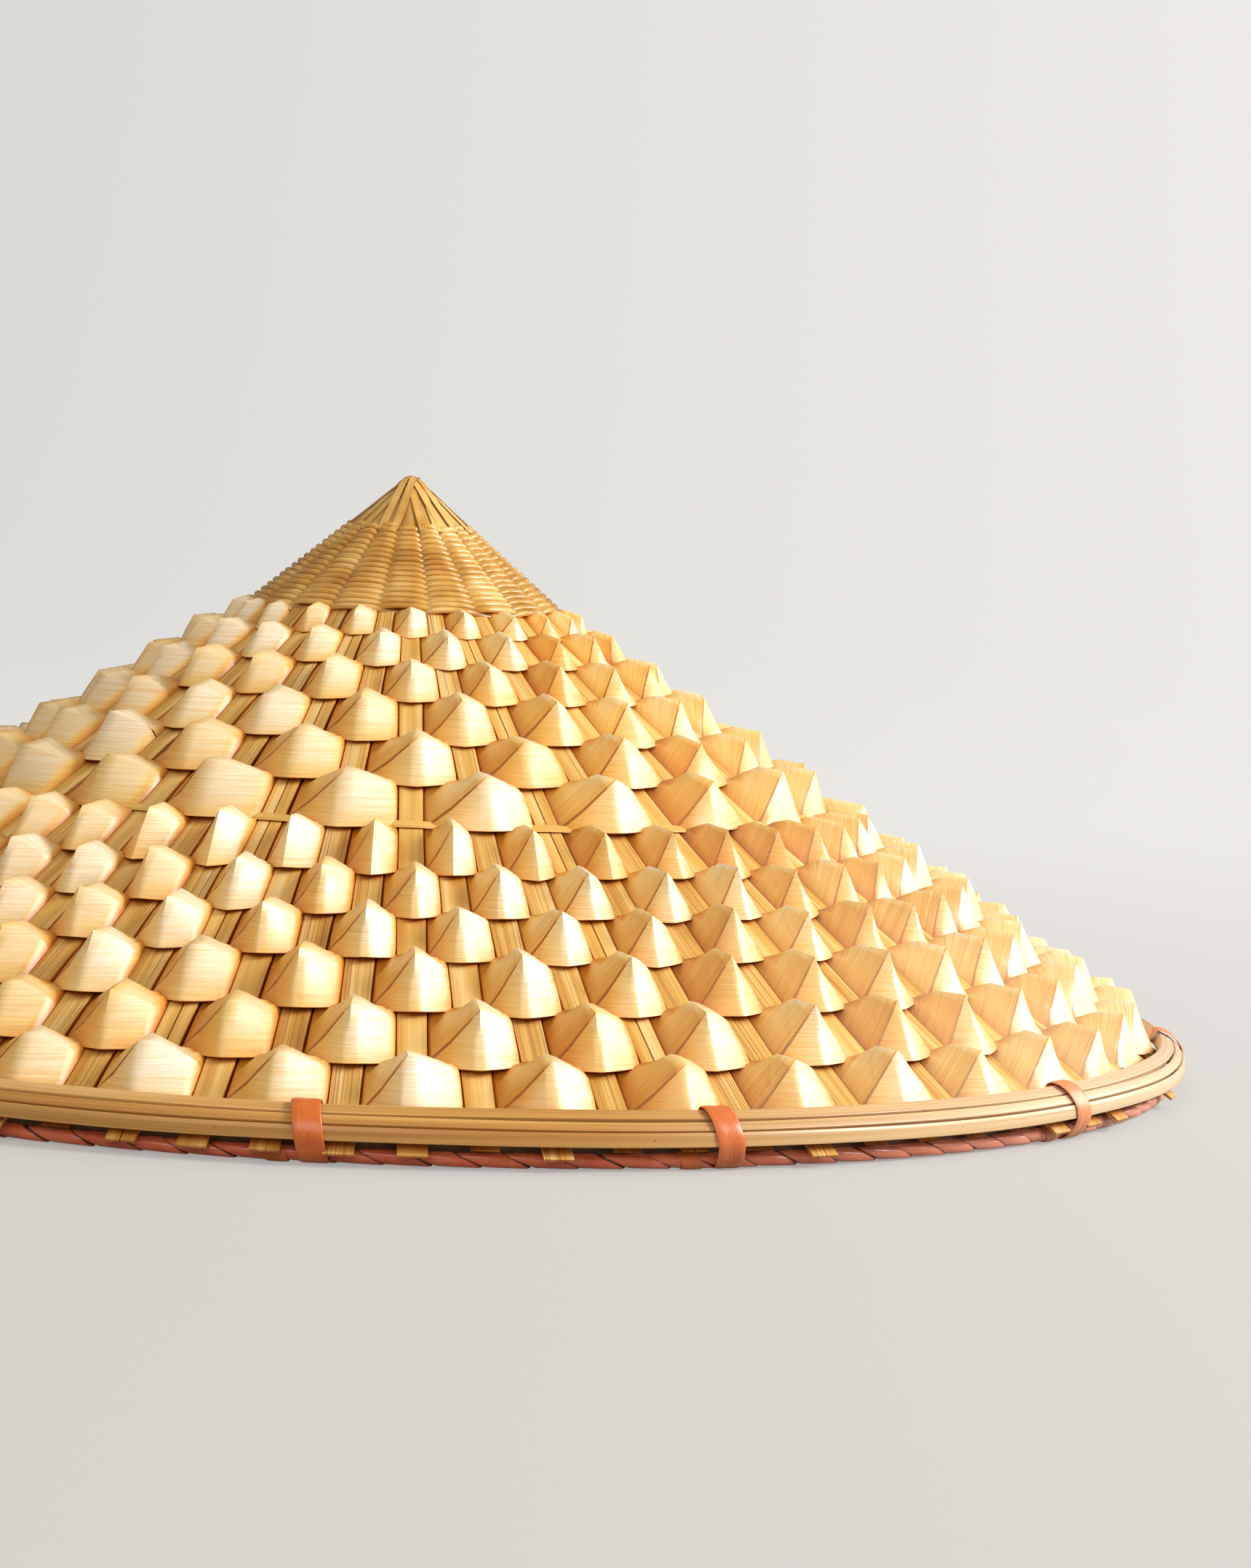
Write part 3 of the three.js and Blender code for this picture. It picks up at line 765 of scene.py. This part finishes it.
def cap_ribs():
    """The wide flat strips that the cap's weft is wound over, each a little crowned."""
    clear_selection()
    bpy.ops.mesh.primitive_grid_add(x_subdivisions=6, y_subdivisions=6, size=2)
    blank = added("rib")
    ribs = []
    for i in range(RIBS):
        rib = copy_of(blank)
        offset = somewhere()
        azimuth = FIRST_RIB + i * RIB_STEP
        spots = []
        for point in rib.data.vertices:
            radius = RIB_MIDDLE + RIB_REACH * point.co.y
            half = math.pi * radius / RIBS * 0.97
            side = point.co.x * half
            spots.append(Vector((radius, side)) * MM + offset)
            point.co = on_cone(azimuth, radius, 0.5 - 0.8 * point.co.x ** 2, side, 26)
        lay_grain(rib, spots)
        ribs.append(rib)
    bpy.data.objects.remove(blank)
    piece = join("cap_ribs", ribs)
    thicken(piece, 0.5)
    apply_modifiers(piece)
    return finish_piece(piece, [CAP_RIB], ["weft_cap"], 40)


def cap_weft():
    """Fine weft wound round the cap, over one rib and under the next, each turn opposite the last."""
    turns = []
    radius = WEFT_START
    while radius < WEFT_END:
        phase = -RIBS / 2 * FIRST_RIB + (len(turns) % 2) * math.pi
        turns.append(woven_ring("turn", radius, 1.36, 1.5, RIBS / 2, phase, -0.7, 0.95, RIBS * 8, 1.7))
        radius += WEFT_STEP
    return finish_piece(join("cap_weft", turns), [CAP_WEFT], ["weft_cap"], 60)


def apex_blank():
    """A straight strip over the apex, cut across more closely towards its middle, with painted shade on its
    sides.
    """
    clear_selection()
    bpy.ops.mesh.primitive_cube_add(size=1, scale=(2.15 * MM, 2 * APEX_REACH * MM, 0.9 * MM))
    blank = added("strip")
    bpy.ops.object.transform_apply(location=False, rotation=False, scale=True)
    bpy.ops.object.mode_set(mode="EDIT")
    for i in range(1 - APEX_CUTS, APEX_CUTS):
        spot = math.copysign(abs(i / APEX_CUTS) ** 1.5, i) * APEX_REACH * MM
        cut_across((0, spot, 0), (0, 1, 0))
    bpy.ops.object.mode_set(mode="OBJECT")
    grain_layer(blank)
    edge = blank.data.attributes.new("tuck", "FLOAT", "CORNER")
    for face in blank.data.polygons:
        for corner in face.loop_indices:
            # Painted shade: the sides and underside are dark, for the gaps between the strips.
            edge.data[corner].value = 0.0 if face.normal.z > 0.5 else 1.0
    return blank


def apex_strips():
    """Pairs of strips laid over the apex and crossing there, each pair on a level of its own."""
    blank = apex_blank()
    strips = []
    for level, azimuth in zip(APEX_LEVELS, APEX_TURNS):
        for hand in (-1, 1):
            strip = copy_of(blank)
            rise = 0.05 + 0.24 * level
            offset = somewhere()
            turn = math.radians(azimuth) + chance.uniform(-0.02, 0.02)
            east, south = math.sin(turn), math.cos(turn)
            spots = []
            for point in strip.data.vertices:
                along, across, up = point.co.y / MM, point.co.x / MM, point.co.z / MM
                near = math.exp(-(along / 6.5) ** 2)
                wide = 1.0 - 0.25 * near
                far = max(0.0, abs(along) - 4.0)
                side = hand * (1.42 - 0.4 * near + 0.035 * far) + across * wide
                spots.append(Vector((along, across)) * MM + offset)
                plan = math.hypot(along, side * 0.8)
                height = APEX_Z - 0.838 * (math.sqrt(plan ** 2 + 4.8) - 1.15)
                height += up + 0.35 + rise * math.exp(-(along / 8.0) ** 2) - 0.03 * across ** 2
                point.co = Vector((along * east + side * south, -along * south + side * east, height)) * MM
            lay_grain(strip, spots)
            strips.append(strip)
    bpy.data.objects.remove(blank)
    return finish_piece(join("apex_strips", strips), [CAP_STRIP], ["stakes_main"], 50)


def pairing_strip():
    """The narrow strip that ties in the inserted stakes, over each bare stake and under the next."""
    phase = -STAKES / 2 * FIRST_STAKE
    strip = woven_ring("pairing_strip", INSERT_START, 2.3, 0.45, STAKES / 2, phase, -1.5, 0.45,
                       STAKES * 8, 1.2, spread, 0.8)
    return finish_piece(strip, [PLAIN_STAKE], ["stakes_inserted"], 50)


# ------------------------------------------------------------------ the rim
def swept_ring(name, outline, ease, steps=176):
    """A closed outline in (radius, height), its corners eased, spun once round the axis."""
    clear_selection()
    bpy.ops.mesh.primitive_circle_add(vertices=len(outline), radius=1 * MM, fill_type="NOTHING")
    ring = added(name)
    for point, (radius, height) in zip(ring.data.vertices, outline):
        point.co = Vector((0, -radius, height)) * MM
    bpy.ops.object.mode_set(mode="EDIT")
    bpy.ops.mesh.select_all(action="SELECT")
    bpy.ops.mesh.bevel(offset=ease * MM, segments=3, affect="VERTICES")
    bpy.ops.mesh.select_all(action="SELECT")
    bpy.ops.mesh.spin(steps=steps, angle=2 * math.pi, center=(0, 0, 0), axis=(0, 0, 1))
    bpy.ops.mesh.select_all(action="SELECT")
    bpy.ops.mesh.remove_doubles(threshold=0.01 * MM)
    bpy.ops.mesh.normals_make_consistent(inside=False)
    bpy.ops.object.mode_set(mode="OBJECT")
    return ring


def grain_round(ring, offset=0.0):
    """Lays the grain round the axis: first along the ring, then across its outline."""
    grain = grain_layer(ring)
    for face in ring.data.polygons:
        turn = azimuth_of(face.center)
        for corner in face.loop_indices:
            point = ring.data.vertices[ring.data.loops[corner].vertex_index].co
            angle = nearest_turn(azimuth_of(point), turn)
            grain[corner].uv = (angle * GRAIN_ROUND + offset, out_from_axis(point) * 0.8 - point.z + offset)


# Each hoop strip's outline, as (radius, height) in millimetres.
HOOPS = {
    "hoop_upper": [(202.4, 9.9), (205.4, 8.8), (207.0, 11.6), (203.8, 13.1)],
    "hoop_middle": [(205.9, 8.8), (207.8, 7.9), (209.2, 9.45), (207.5, 11.15)],
    "hoop_lower": [(208.1, 7.4), (208.7, 5.6), (210.2, 5.8), (210.0, 8.1), (209.6, 9.05), (209.0, 8.7)],
}


def hoops():
    """The three strips of the rim hoop, each swaying a little on its way round."""
    for name, outline in HOOPS.items():
        hoop = swept_ring(name + "_strip", outline, 0.22)
        grain_round(hoop, chance.uniform(0, 2))
        sway, dip = chance.uniform(0, 6.28), chance.uniform(0, 6.28)
        for point in hoop.data.vertices:
            angle = azimuth_of(point.co)
            point.co.z += (0.12 * math.sin(7 * angle + sway) + 0.08 * math.sin(13 * angle + dip)) * MM
        finish_piece(hoop, [HOOP], [name], 40)


# The wrapped roll: its middle as (radius, height), and its own radius.
ROLL = (204.6, 2.05)
ROLL_RADIUS = 1.66
WRAP_TURNS = 122


def lay_on_roll(point, middle, slant=0.0):
    """Bends a point made round an upright Z axis onto the roll: Z becomes the way along the rim."""
    angle = math.atan2(point.y, point.x)
    radius = math.hypot(point.x, point.y) / MM
    place = middle + (point.z / MM + slant * math.sin(angle)) / ROLL[0]
    out = ROLL[0] + radius * math.cos(angle)
    height = ROLL[1] + radius * math.sin(angle)
    return Vector((out * math.sin(place), -out * math.cos(place), height)) * MM


def rim_wrap():
    """The strip wound round the core: slanting turns, each lapped a little over the last."""
    pitch = 2 * math.pi * ROLL[0] / WRAP_TURNS
    clear_selection()
    bpy.ops.mesh.primitive_cylinder_add(vertices=14, radius=ROLL_RADIUS * MM, depth=(pitch + 0.3) * MM,
                                        end_fill_type="NOTHING")
    blank = added("turn")
    bpy.ops.object.mode_set(mode="EDIT")
    for share in (-0.41, 0.0, 0.44):
        cut_across((0, 0, share * pitch * MM), (0, 0, 1))
    bpy.ops.object.mode_set(mode="OBJECT")
    blank.data.attributes.new("tuck", "FLOAT", "POINT")
    made = []
    for i in range(WRAP_TURNS):
        turn = copy_of(blank)
        offset = somewhere()
        slant = -chance.uniform(2.6, 3.6)
        jog = chance.uniform(-0.35, 0.35)
        tuck = turn.data.attributes["tuck"].data
        spots = []
        for point in turn.data.vertices:
            share = point.co.z / MM / pitch
            angle = math.atan2(point.co.y, point.co.x)
            swell = 1.0 + 0.15 * share + 0.02 * (1 - (2 * share) ** 2)
            # Painted shade: the ends lapped under the next turn are dark.
            tuck[point.index].value = 0.0
            if abs(share) > 0.5:
                swell -= 0.16
                tuck[point.index].value = 1.0
            spots.append(Vector((share * pitch, angle * 2)) * MM + offset)
            bent = Vector((point.co.x * swell, point.co.y * swell, point.co.z))
            point.co = lay_on_roll(bent, ((i + 0.5) * pitch + jog) / ROLL[0], slant)
        lay_grain(turn, spots)
        made.append(turn)
    bpy.data.objects.remove(blank)
    wrap = join("wrap_turns", made)
    face_outward(wrap)
    thicken(wrap, 0.25)
    apply_modifiers(wrap)
    finish_piece(wrap, [WRAP], ["rim_wrap"], 45)


def rim_core():
    """The cane inside the wrapping."""
    out, height = ROLL
    corners = ((-0.8, -0.8), (0.8, -0.8), (0.8, 0.8), (-0.8, 0.8))
    core = swept_ring("core", [(out + x, height + z) for x, z in corners], 0.35, 132)
    grain_round(core)
    finish_piece(core, [CORE], ["rim_core"], 40)


# The ties: where they sit, in half steps of the stakes, the degrees that some are off by, and the
# loop's section and its middle as (radius, height). Then half a tie's width, and how far to the
# side of it the tail lies.
TIE_PLACES = [-1, 5, 13, 21, 28, 35, 43, 49, 57, 65, 72, 79]
TIE_DRIFT = {-1: 0.5, 5: 1.4, 13: -1.1}
TIE_PATH = [(201.4, 2.2), (202.6, 0.62), (204.6, 0.46), (206.4, 0.6), (208.4, 2.1), (210.55, 5.4),
            (210.6, 7.6), (209.6, 10.1), (207.4, 12.6), (204.6, 13.8), (202.4, 13.6), (201.3, 12.0),
            (201.2, 7.0)]
TIE_MIDDLE = (206, 7)
TIE_HALF = 3.3
TAIL_ASIDE = -7.4


def tie_band(name):
    """A flat strip passed once round the rim, with a crease down its middle."""
    clear_selection()
    bpy.ops.mesh.primitive_circle_add(vertices=len(TIE_PATH), radius=1 * MM, fill_type="NOTHING")
    tie = added(name)
    for point, (radius, height) in zip(tie.data.vertices, TIE_PATH):
        point.co = Vector((-TIE_HALF, -radius, height)) * MM
    bpy.ops.object.mode_set(mode="EDIT")
    bpy.ops.mesh.select_all(action="SELECT")
    for _ in range(4):
        bpy.ops.mesh.extrude_region_move(TRANSFORM_OT_translate={"value": (TIE_HALF / 2 * MM, 0, 0)})
    bpy.ops.object.mode_set(mode="OBJECT")
    tie.data.attributes.new("tuck", "FLOAT", "POINT")
    grain = grain_layer(tie)
    lean = chance.uniform(0.5, 1.5)
    shift = chance.uniform(0, 3)
    middle = Vector((0, -TIE_MIDDLE[0], TIE_MIDDLE[1])) * MM
    for face in tie.data.polygons:
        turn = math.atan2(face.center.z - middle.z, face.center.y - middle.y)
        for corner in face.loop_indices:
            point = tie.data.vertices[tie.data.loops[corner].vertex_index].co
            angle = nearest_turn(math.atan2(point.z - middle.z, point.y - middle.y), turn)
            grain[corner].uv = (angle * 0.006 + shift, point.x + shift)
    tuck = tie.data.attributes["tuck"].data
    for point in tie.data.vertices:
        crease = 0.16 if abs(point.co.x) < 0.1 * MM else 0
        crown = 0.18 * (1 - (point.co.x / MM / TIE_HALF) ** 2) - crease
        away = point.co - middle
        away.x = 0
        # Painted shade: darker towards the bottom, under the rim.
        low = max(0.0, 4.5 - point.co.z / MM) / 4.5
        tuck[point.index].value = 0.32 * low
        point.co += away.normalized() * crown * MM
        point.co.x -= lean * (point.co.z / MM - TIE_MIDDLE[1]) / TIE_MIDDLE[1] * MM
    return tie


def tie_tail(name):
    """The tail of the strip, taken once more round the wrapped roll beside the band."""
    clear_selection()
    bpy.ops.mesh.primitive_cylinder_add(vertices=16, radius=(ROLL_RADIUS + 0.24) * MM, depth=5.4 * MM,
                                        end_fill_type="NOTHING")
    tail = added(name)
    grain_layer(tail)
    tuck = tail.data.attributes.new("tuck", "FLOAT", "POINT").data
    for point in tail.data.vertices:
        # Painted shade: the tail is a little darker all over.
        tuck[point.index].value = 0.2
        point.co = lay_on_roll(point.co, TAIL_ASIDE / ROLL[0], -0.6)
        point.co.z = max(point.co.z, 0.27 * MM)
    return tail


def rim_ties():
    """Each tie is its own band and tail, thickened and turned to its place on the rim."""
    for number, gap in enumerate(TIE_PLACES):
        tie = join(f"tie_strip_{number + 1:02d}", [tie_band("band"), tie_tail("tail")])
        face_outward(tie)
        thicken(tie, 0.45, 0)
        smooth = tie.modifiers.new("smooth", "SUBSURF")
        smooth.levels = smooth.render_levels = 2
        apply_modifiers(tie)
        azimuth = gap * STEP / 2 + math.radians(TIE_DRIFT.get(gap, 0.0))
        tie.data.transform(Matrix.Rotation(azimuth, 4, "Z"))
        finish_piece(tie, [TIE], [f"tie_band_{number + 1:02d}"], 50)


# The radius past which the lining is turned down.
TURNED_DOWN = 201.5


def section(radius, lift):
    """A point of the hat's section, lift off the cone, as (radius, height)."""
    spot = on_cone(0.0, radius, lift) / MM
    return -spot.y, spot.z


def lining():
    """Leaves laid under the weave, their edge turned down onto the roll at the rim."""
    radii = (5.0, 24.0, CAP_EDGE, 80.0, LET_IN, 155.0, 199.5)
    over = [section(radius, -2.9) for radius in radii]
    under = [section(radius, -3.7) for radius in radii]
    edge = [(201.7, 5.5), (204.9, 3.8), (204.6, 3.3), (201.4, 4.9)]
    leaf = swept_ring("leaf", over + edge + under[::-1], 0.12, 132)
    grain_round(leaf)
    for point in leaf.data.vertices:
        out = out_from_axis(point.co)
        ripple = 0.25 * math.sin(33 * azimuth_of(point.co)) * min(1.0, out / 0.1)
        if out < 199 * MM:
            point.co.z -= (0.25 + ripple) * MM
    for finish in (LEAF, LEAF_EDGE_SHADE):
        leaf.data.materials.append(finish)
    # Faces past the turn take the near-black painted shade of the edge.
    for face in leaf.data.polygons:
        face.material_index = 1 if out_from_axis(face.center) > TURNED_DOWN * MM else 0
    finish_piece(leaf, [], ["lining"], 50)


# ------------------------------------------------------------------ build the hat
ribbons()
stakes()
cap_ribs()
cap_weft()
apex_strips()
pairing_strip()
hoops()
rim_wrap()
rim_core()
rim_ties()
lining()

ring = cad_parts["head_ring"]
ring.data.materials.clear()
ring.data.materials.append(RING)
for number in range(6):
    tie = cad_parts[f"ring_tie_{number + 1}"]
    tie.data.materials.clear()
    tie.data.materials.append(CORE)


# ------------------------------------------------------------------ floor, light, camera
def backdrop():
    """A pale floor that curves up into a wall and glows as painted light, brighter far off and to the
    right.
    """
    clear_selection()
    bpy.ops.mesh.primitive_plane_add(size=2, location=(0, 0, 0))
    floor = added("floor")
    bpy.ops.object.mode_set(mode="EDIT")
    bpy.ops.mesh.select_all(action="SELECT")
    bpy.ops.transform.resize(value=(6, 3, 1))
    bpy.ops.mesh.select_all(action="DESELECT")
    bpy.ops.object.mode_set(mode="OBJECT")
    for point in floor.data.vertices:
        point.co.y += 0.6
        point.select = point.co.y > 1
    for edge in floor.data.edges:
        edge.select = all(floor.data.vertices[v].co.y > 1 for v in edge.vertices)
    bpy.ops.object.mode_set(mode="EDIT")
    bpy.ops.mesh.extrude_region_move(TRANSFORM_OT_translate={"value": (0, 0, 6)})
    bpy.ops.object.mode_set(mode="OBJECT")
    bend = floor.modifiers.new("bend", "BEVEL")
    bend.width = 1.5
    bend.segments = 24
    apply_modifiers(floor)
    bpy.ops.object.shade_smooth()
    paper = Finish("pale_backdrop")
    where = paper.add("ShaderNodeSeparateXYZ", {0: paper.add("ShaderNodeTexCoord").outputs["Object"]})
    far = paper.add("ShaderNodeMapRange", {0: where.outputs["Y"], 1: -0.35, 2: 0.95},
                    interpolation_type="SMOOTHSTEP").outputs[0]
    right = paper.range(where.outputs["X"], -0.45, 1.05)
    grey = paper.mix(right, (0.715, 0.70, 0.675), (0.87, 0.85, 0.82))
    # Seen directly it glows in full. Light it throws on the hat, or shows in reflection, is dimmer.
    seen = paper.range(paper.add("ShaderNodeLightPath").outputs["Is Camera Ray"], 0.0, 1.0, 0.3, 1.0)
    glow = paper.add("ShaderNodeMath", {0: paper.range(far, 0.0, 1.0, 0.43, 0.97), 1: seen},
                     operation="MULTIPLY").outputs[0]
    paper.set(Base_Color=paper.mix(far, (0.28, 0.278, 0.275), (0.02, 0.02, 0.02)), Roughness=0.9)
    paper.set(Emission_Color=grey, Emission_Strength=glow)
    floor.data.materials.append(paper.material)


def softbox(name, place, size, power, colour):
    """A rectangular lamp aimed at a point on the hat's axis."""
    bpy.ops.object.light_add(type="AREA", location=place)
    lamp = bpy.context.object
    lamp.name = name
    lamp.data.shape = "RECTANGLE"
    lamp.data.size, lamp.data.size_y = size
    lamp.data.energy = power
    lamp.data.color = colour
    aim = Vector((0, 0, 0.06)) - lamp.location
    lamp.rotation_euler = aim.to_track_quat("-Z", "Y").to_euler()


def lights():
    """A key lamp and a softer one to the right, a warm fill in front, and a warm sky."""
    softbox("key", (1.72, -0.45, 1.15), (0.7, 0.7), 40, (1.0, 0.985, 0.965))
    softbox("side", (1.85, 0.8, 0.85), (0.9, 0.9), 17, (1.0, 0.99, 0.975))
    softbox("fill", (-0.35, -2.0, 1.25), (1.4, 1.0), 14, (1.0, 0.95, 0.88))
    sky = bpy.data.worlds.new("studio")
    bpy.context.scene.world = sky
    sky.use_nodes = True
    sky.node_tree.nodes["Background"].inputs[0].default_value = (1.0, 0.89, 0.72, 1)
    sky.node_tree.nodes["Background"].inputs[1].default_value = 0.45
    bpy.context.scene.view_settings.view_transform = "Standard"


def camera():
    """In front of the hat and near the height of its top, turned and rolled as if held by hand."""
    turn, yaw, pitch, roll = (math.radians(v) for v in (0.745, 3.28, -3.76, 2.74))
    bpy.ops.object.camera_add()
    view = bpy.context.object
    view.data.lens = 91.1
    view.data.sensor_width = 36
    view.data.clip_end = 50
    view.data.dof.use_dof = False
    east, south = math.sin(turn), math.cos(turn)
    distance, height = 1.05, 0.1401
    view.location = (distance * east, -distance * south, height)
    forward = Vector((math.sin(yaw) * math.cos(pitch), math.cos(yaw) * math.cos(pitch), math.sin(pitch)))
    right = Vector((math.cos(yaw), -math.sin(yaw), 0))
    up = right.cross(forward)
    tilted_right = right * math.cos(roll) + up * math.sin(roll)
    tilted_up = up * math.cos(roll) - right * math.sin(roll)
    basis = Matrix((tilted_right, tilted_up, -forward)).transposed()
    basis = Matrix.Rotation(turn, 3, "Z") @ basis
    view.rotation_euler = basis.to_euler()
    bpy.context.scene.camera = view


backdrop()
lights()
camera()
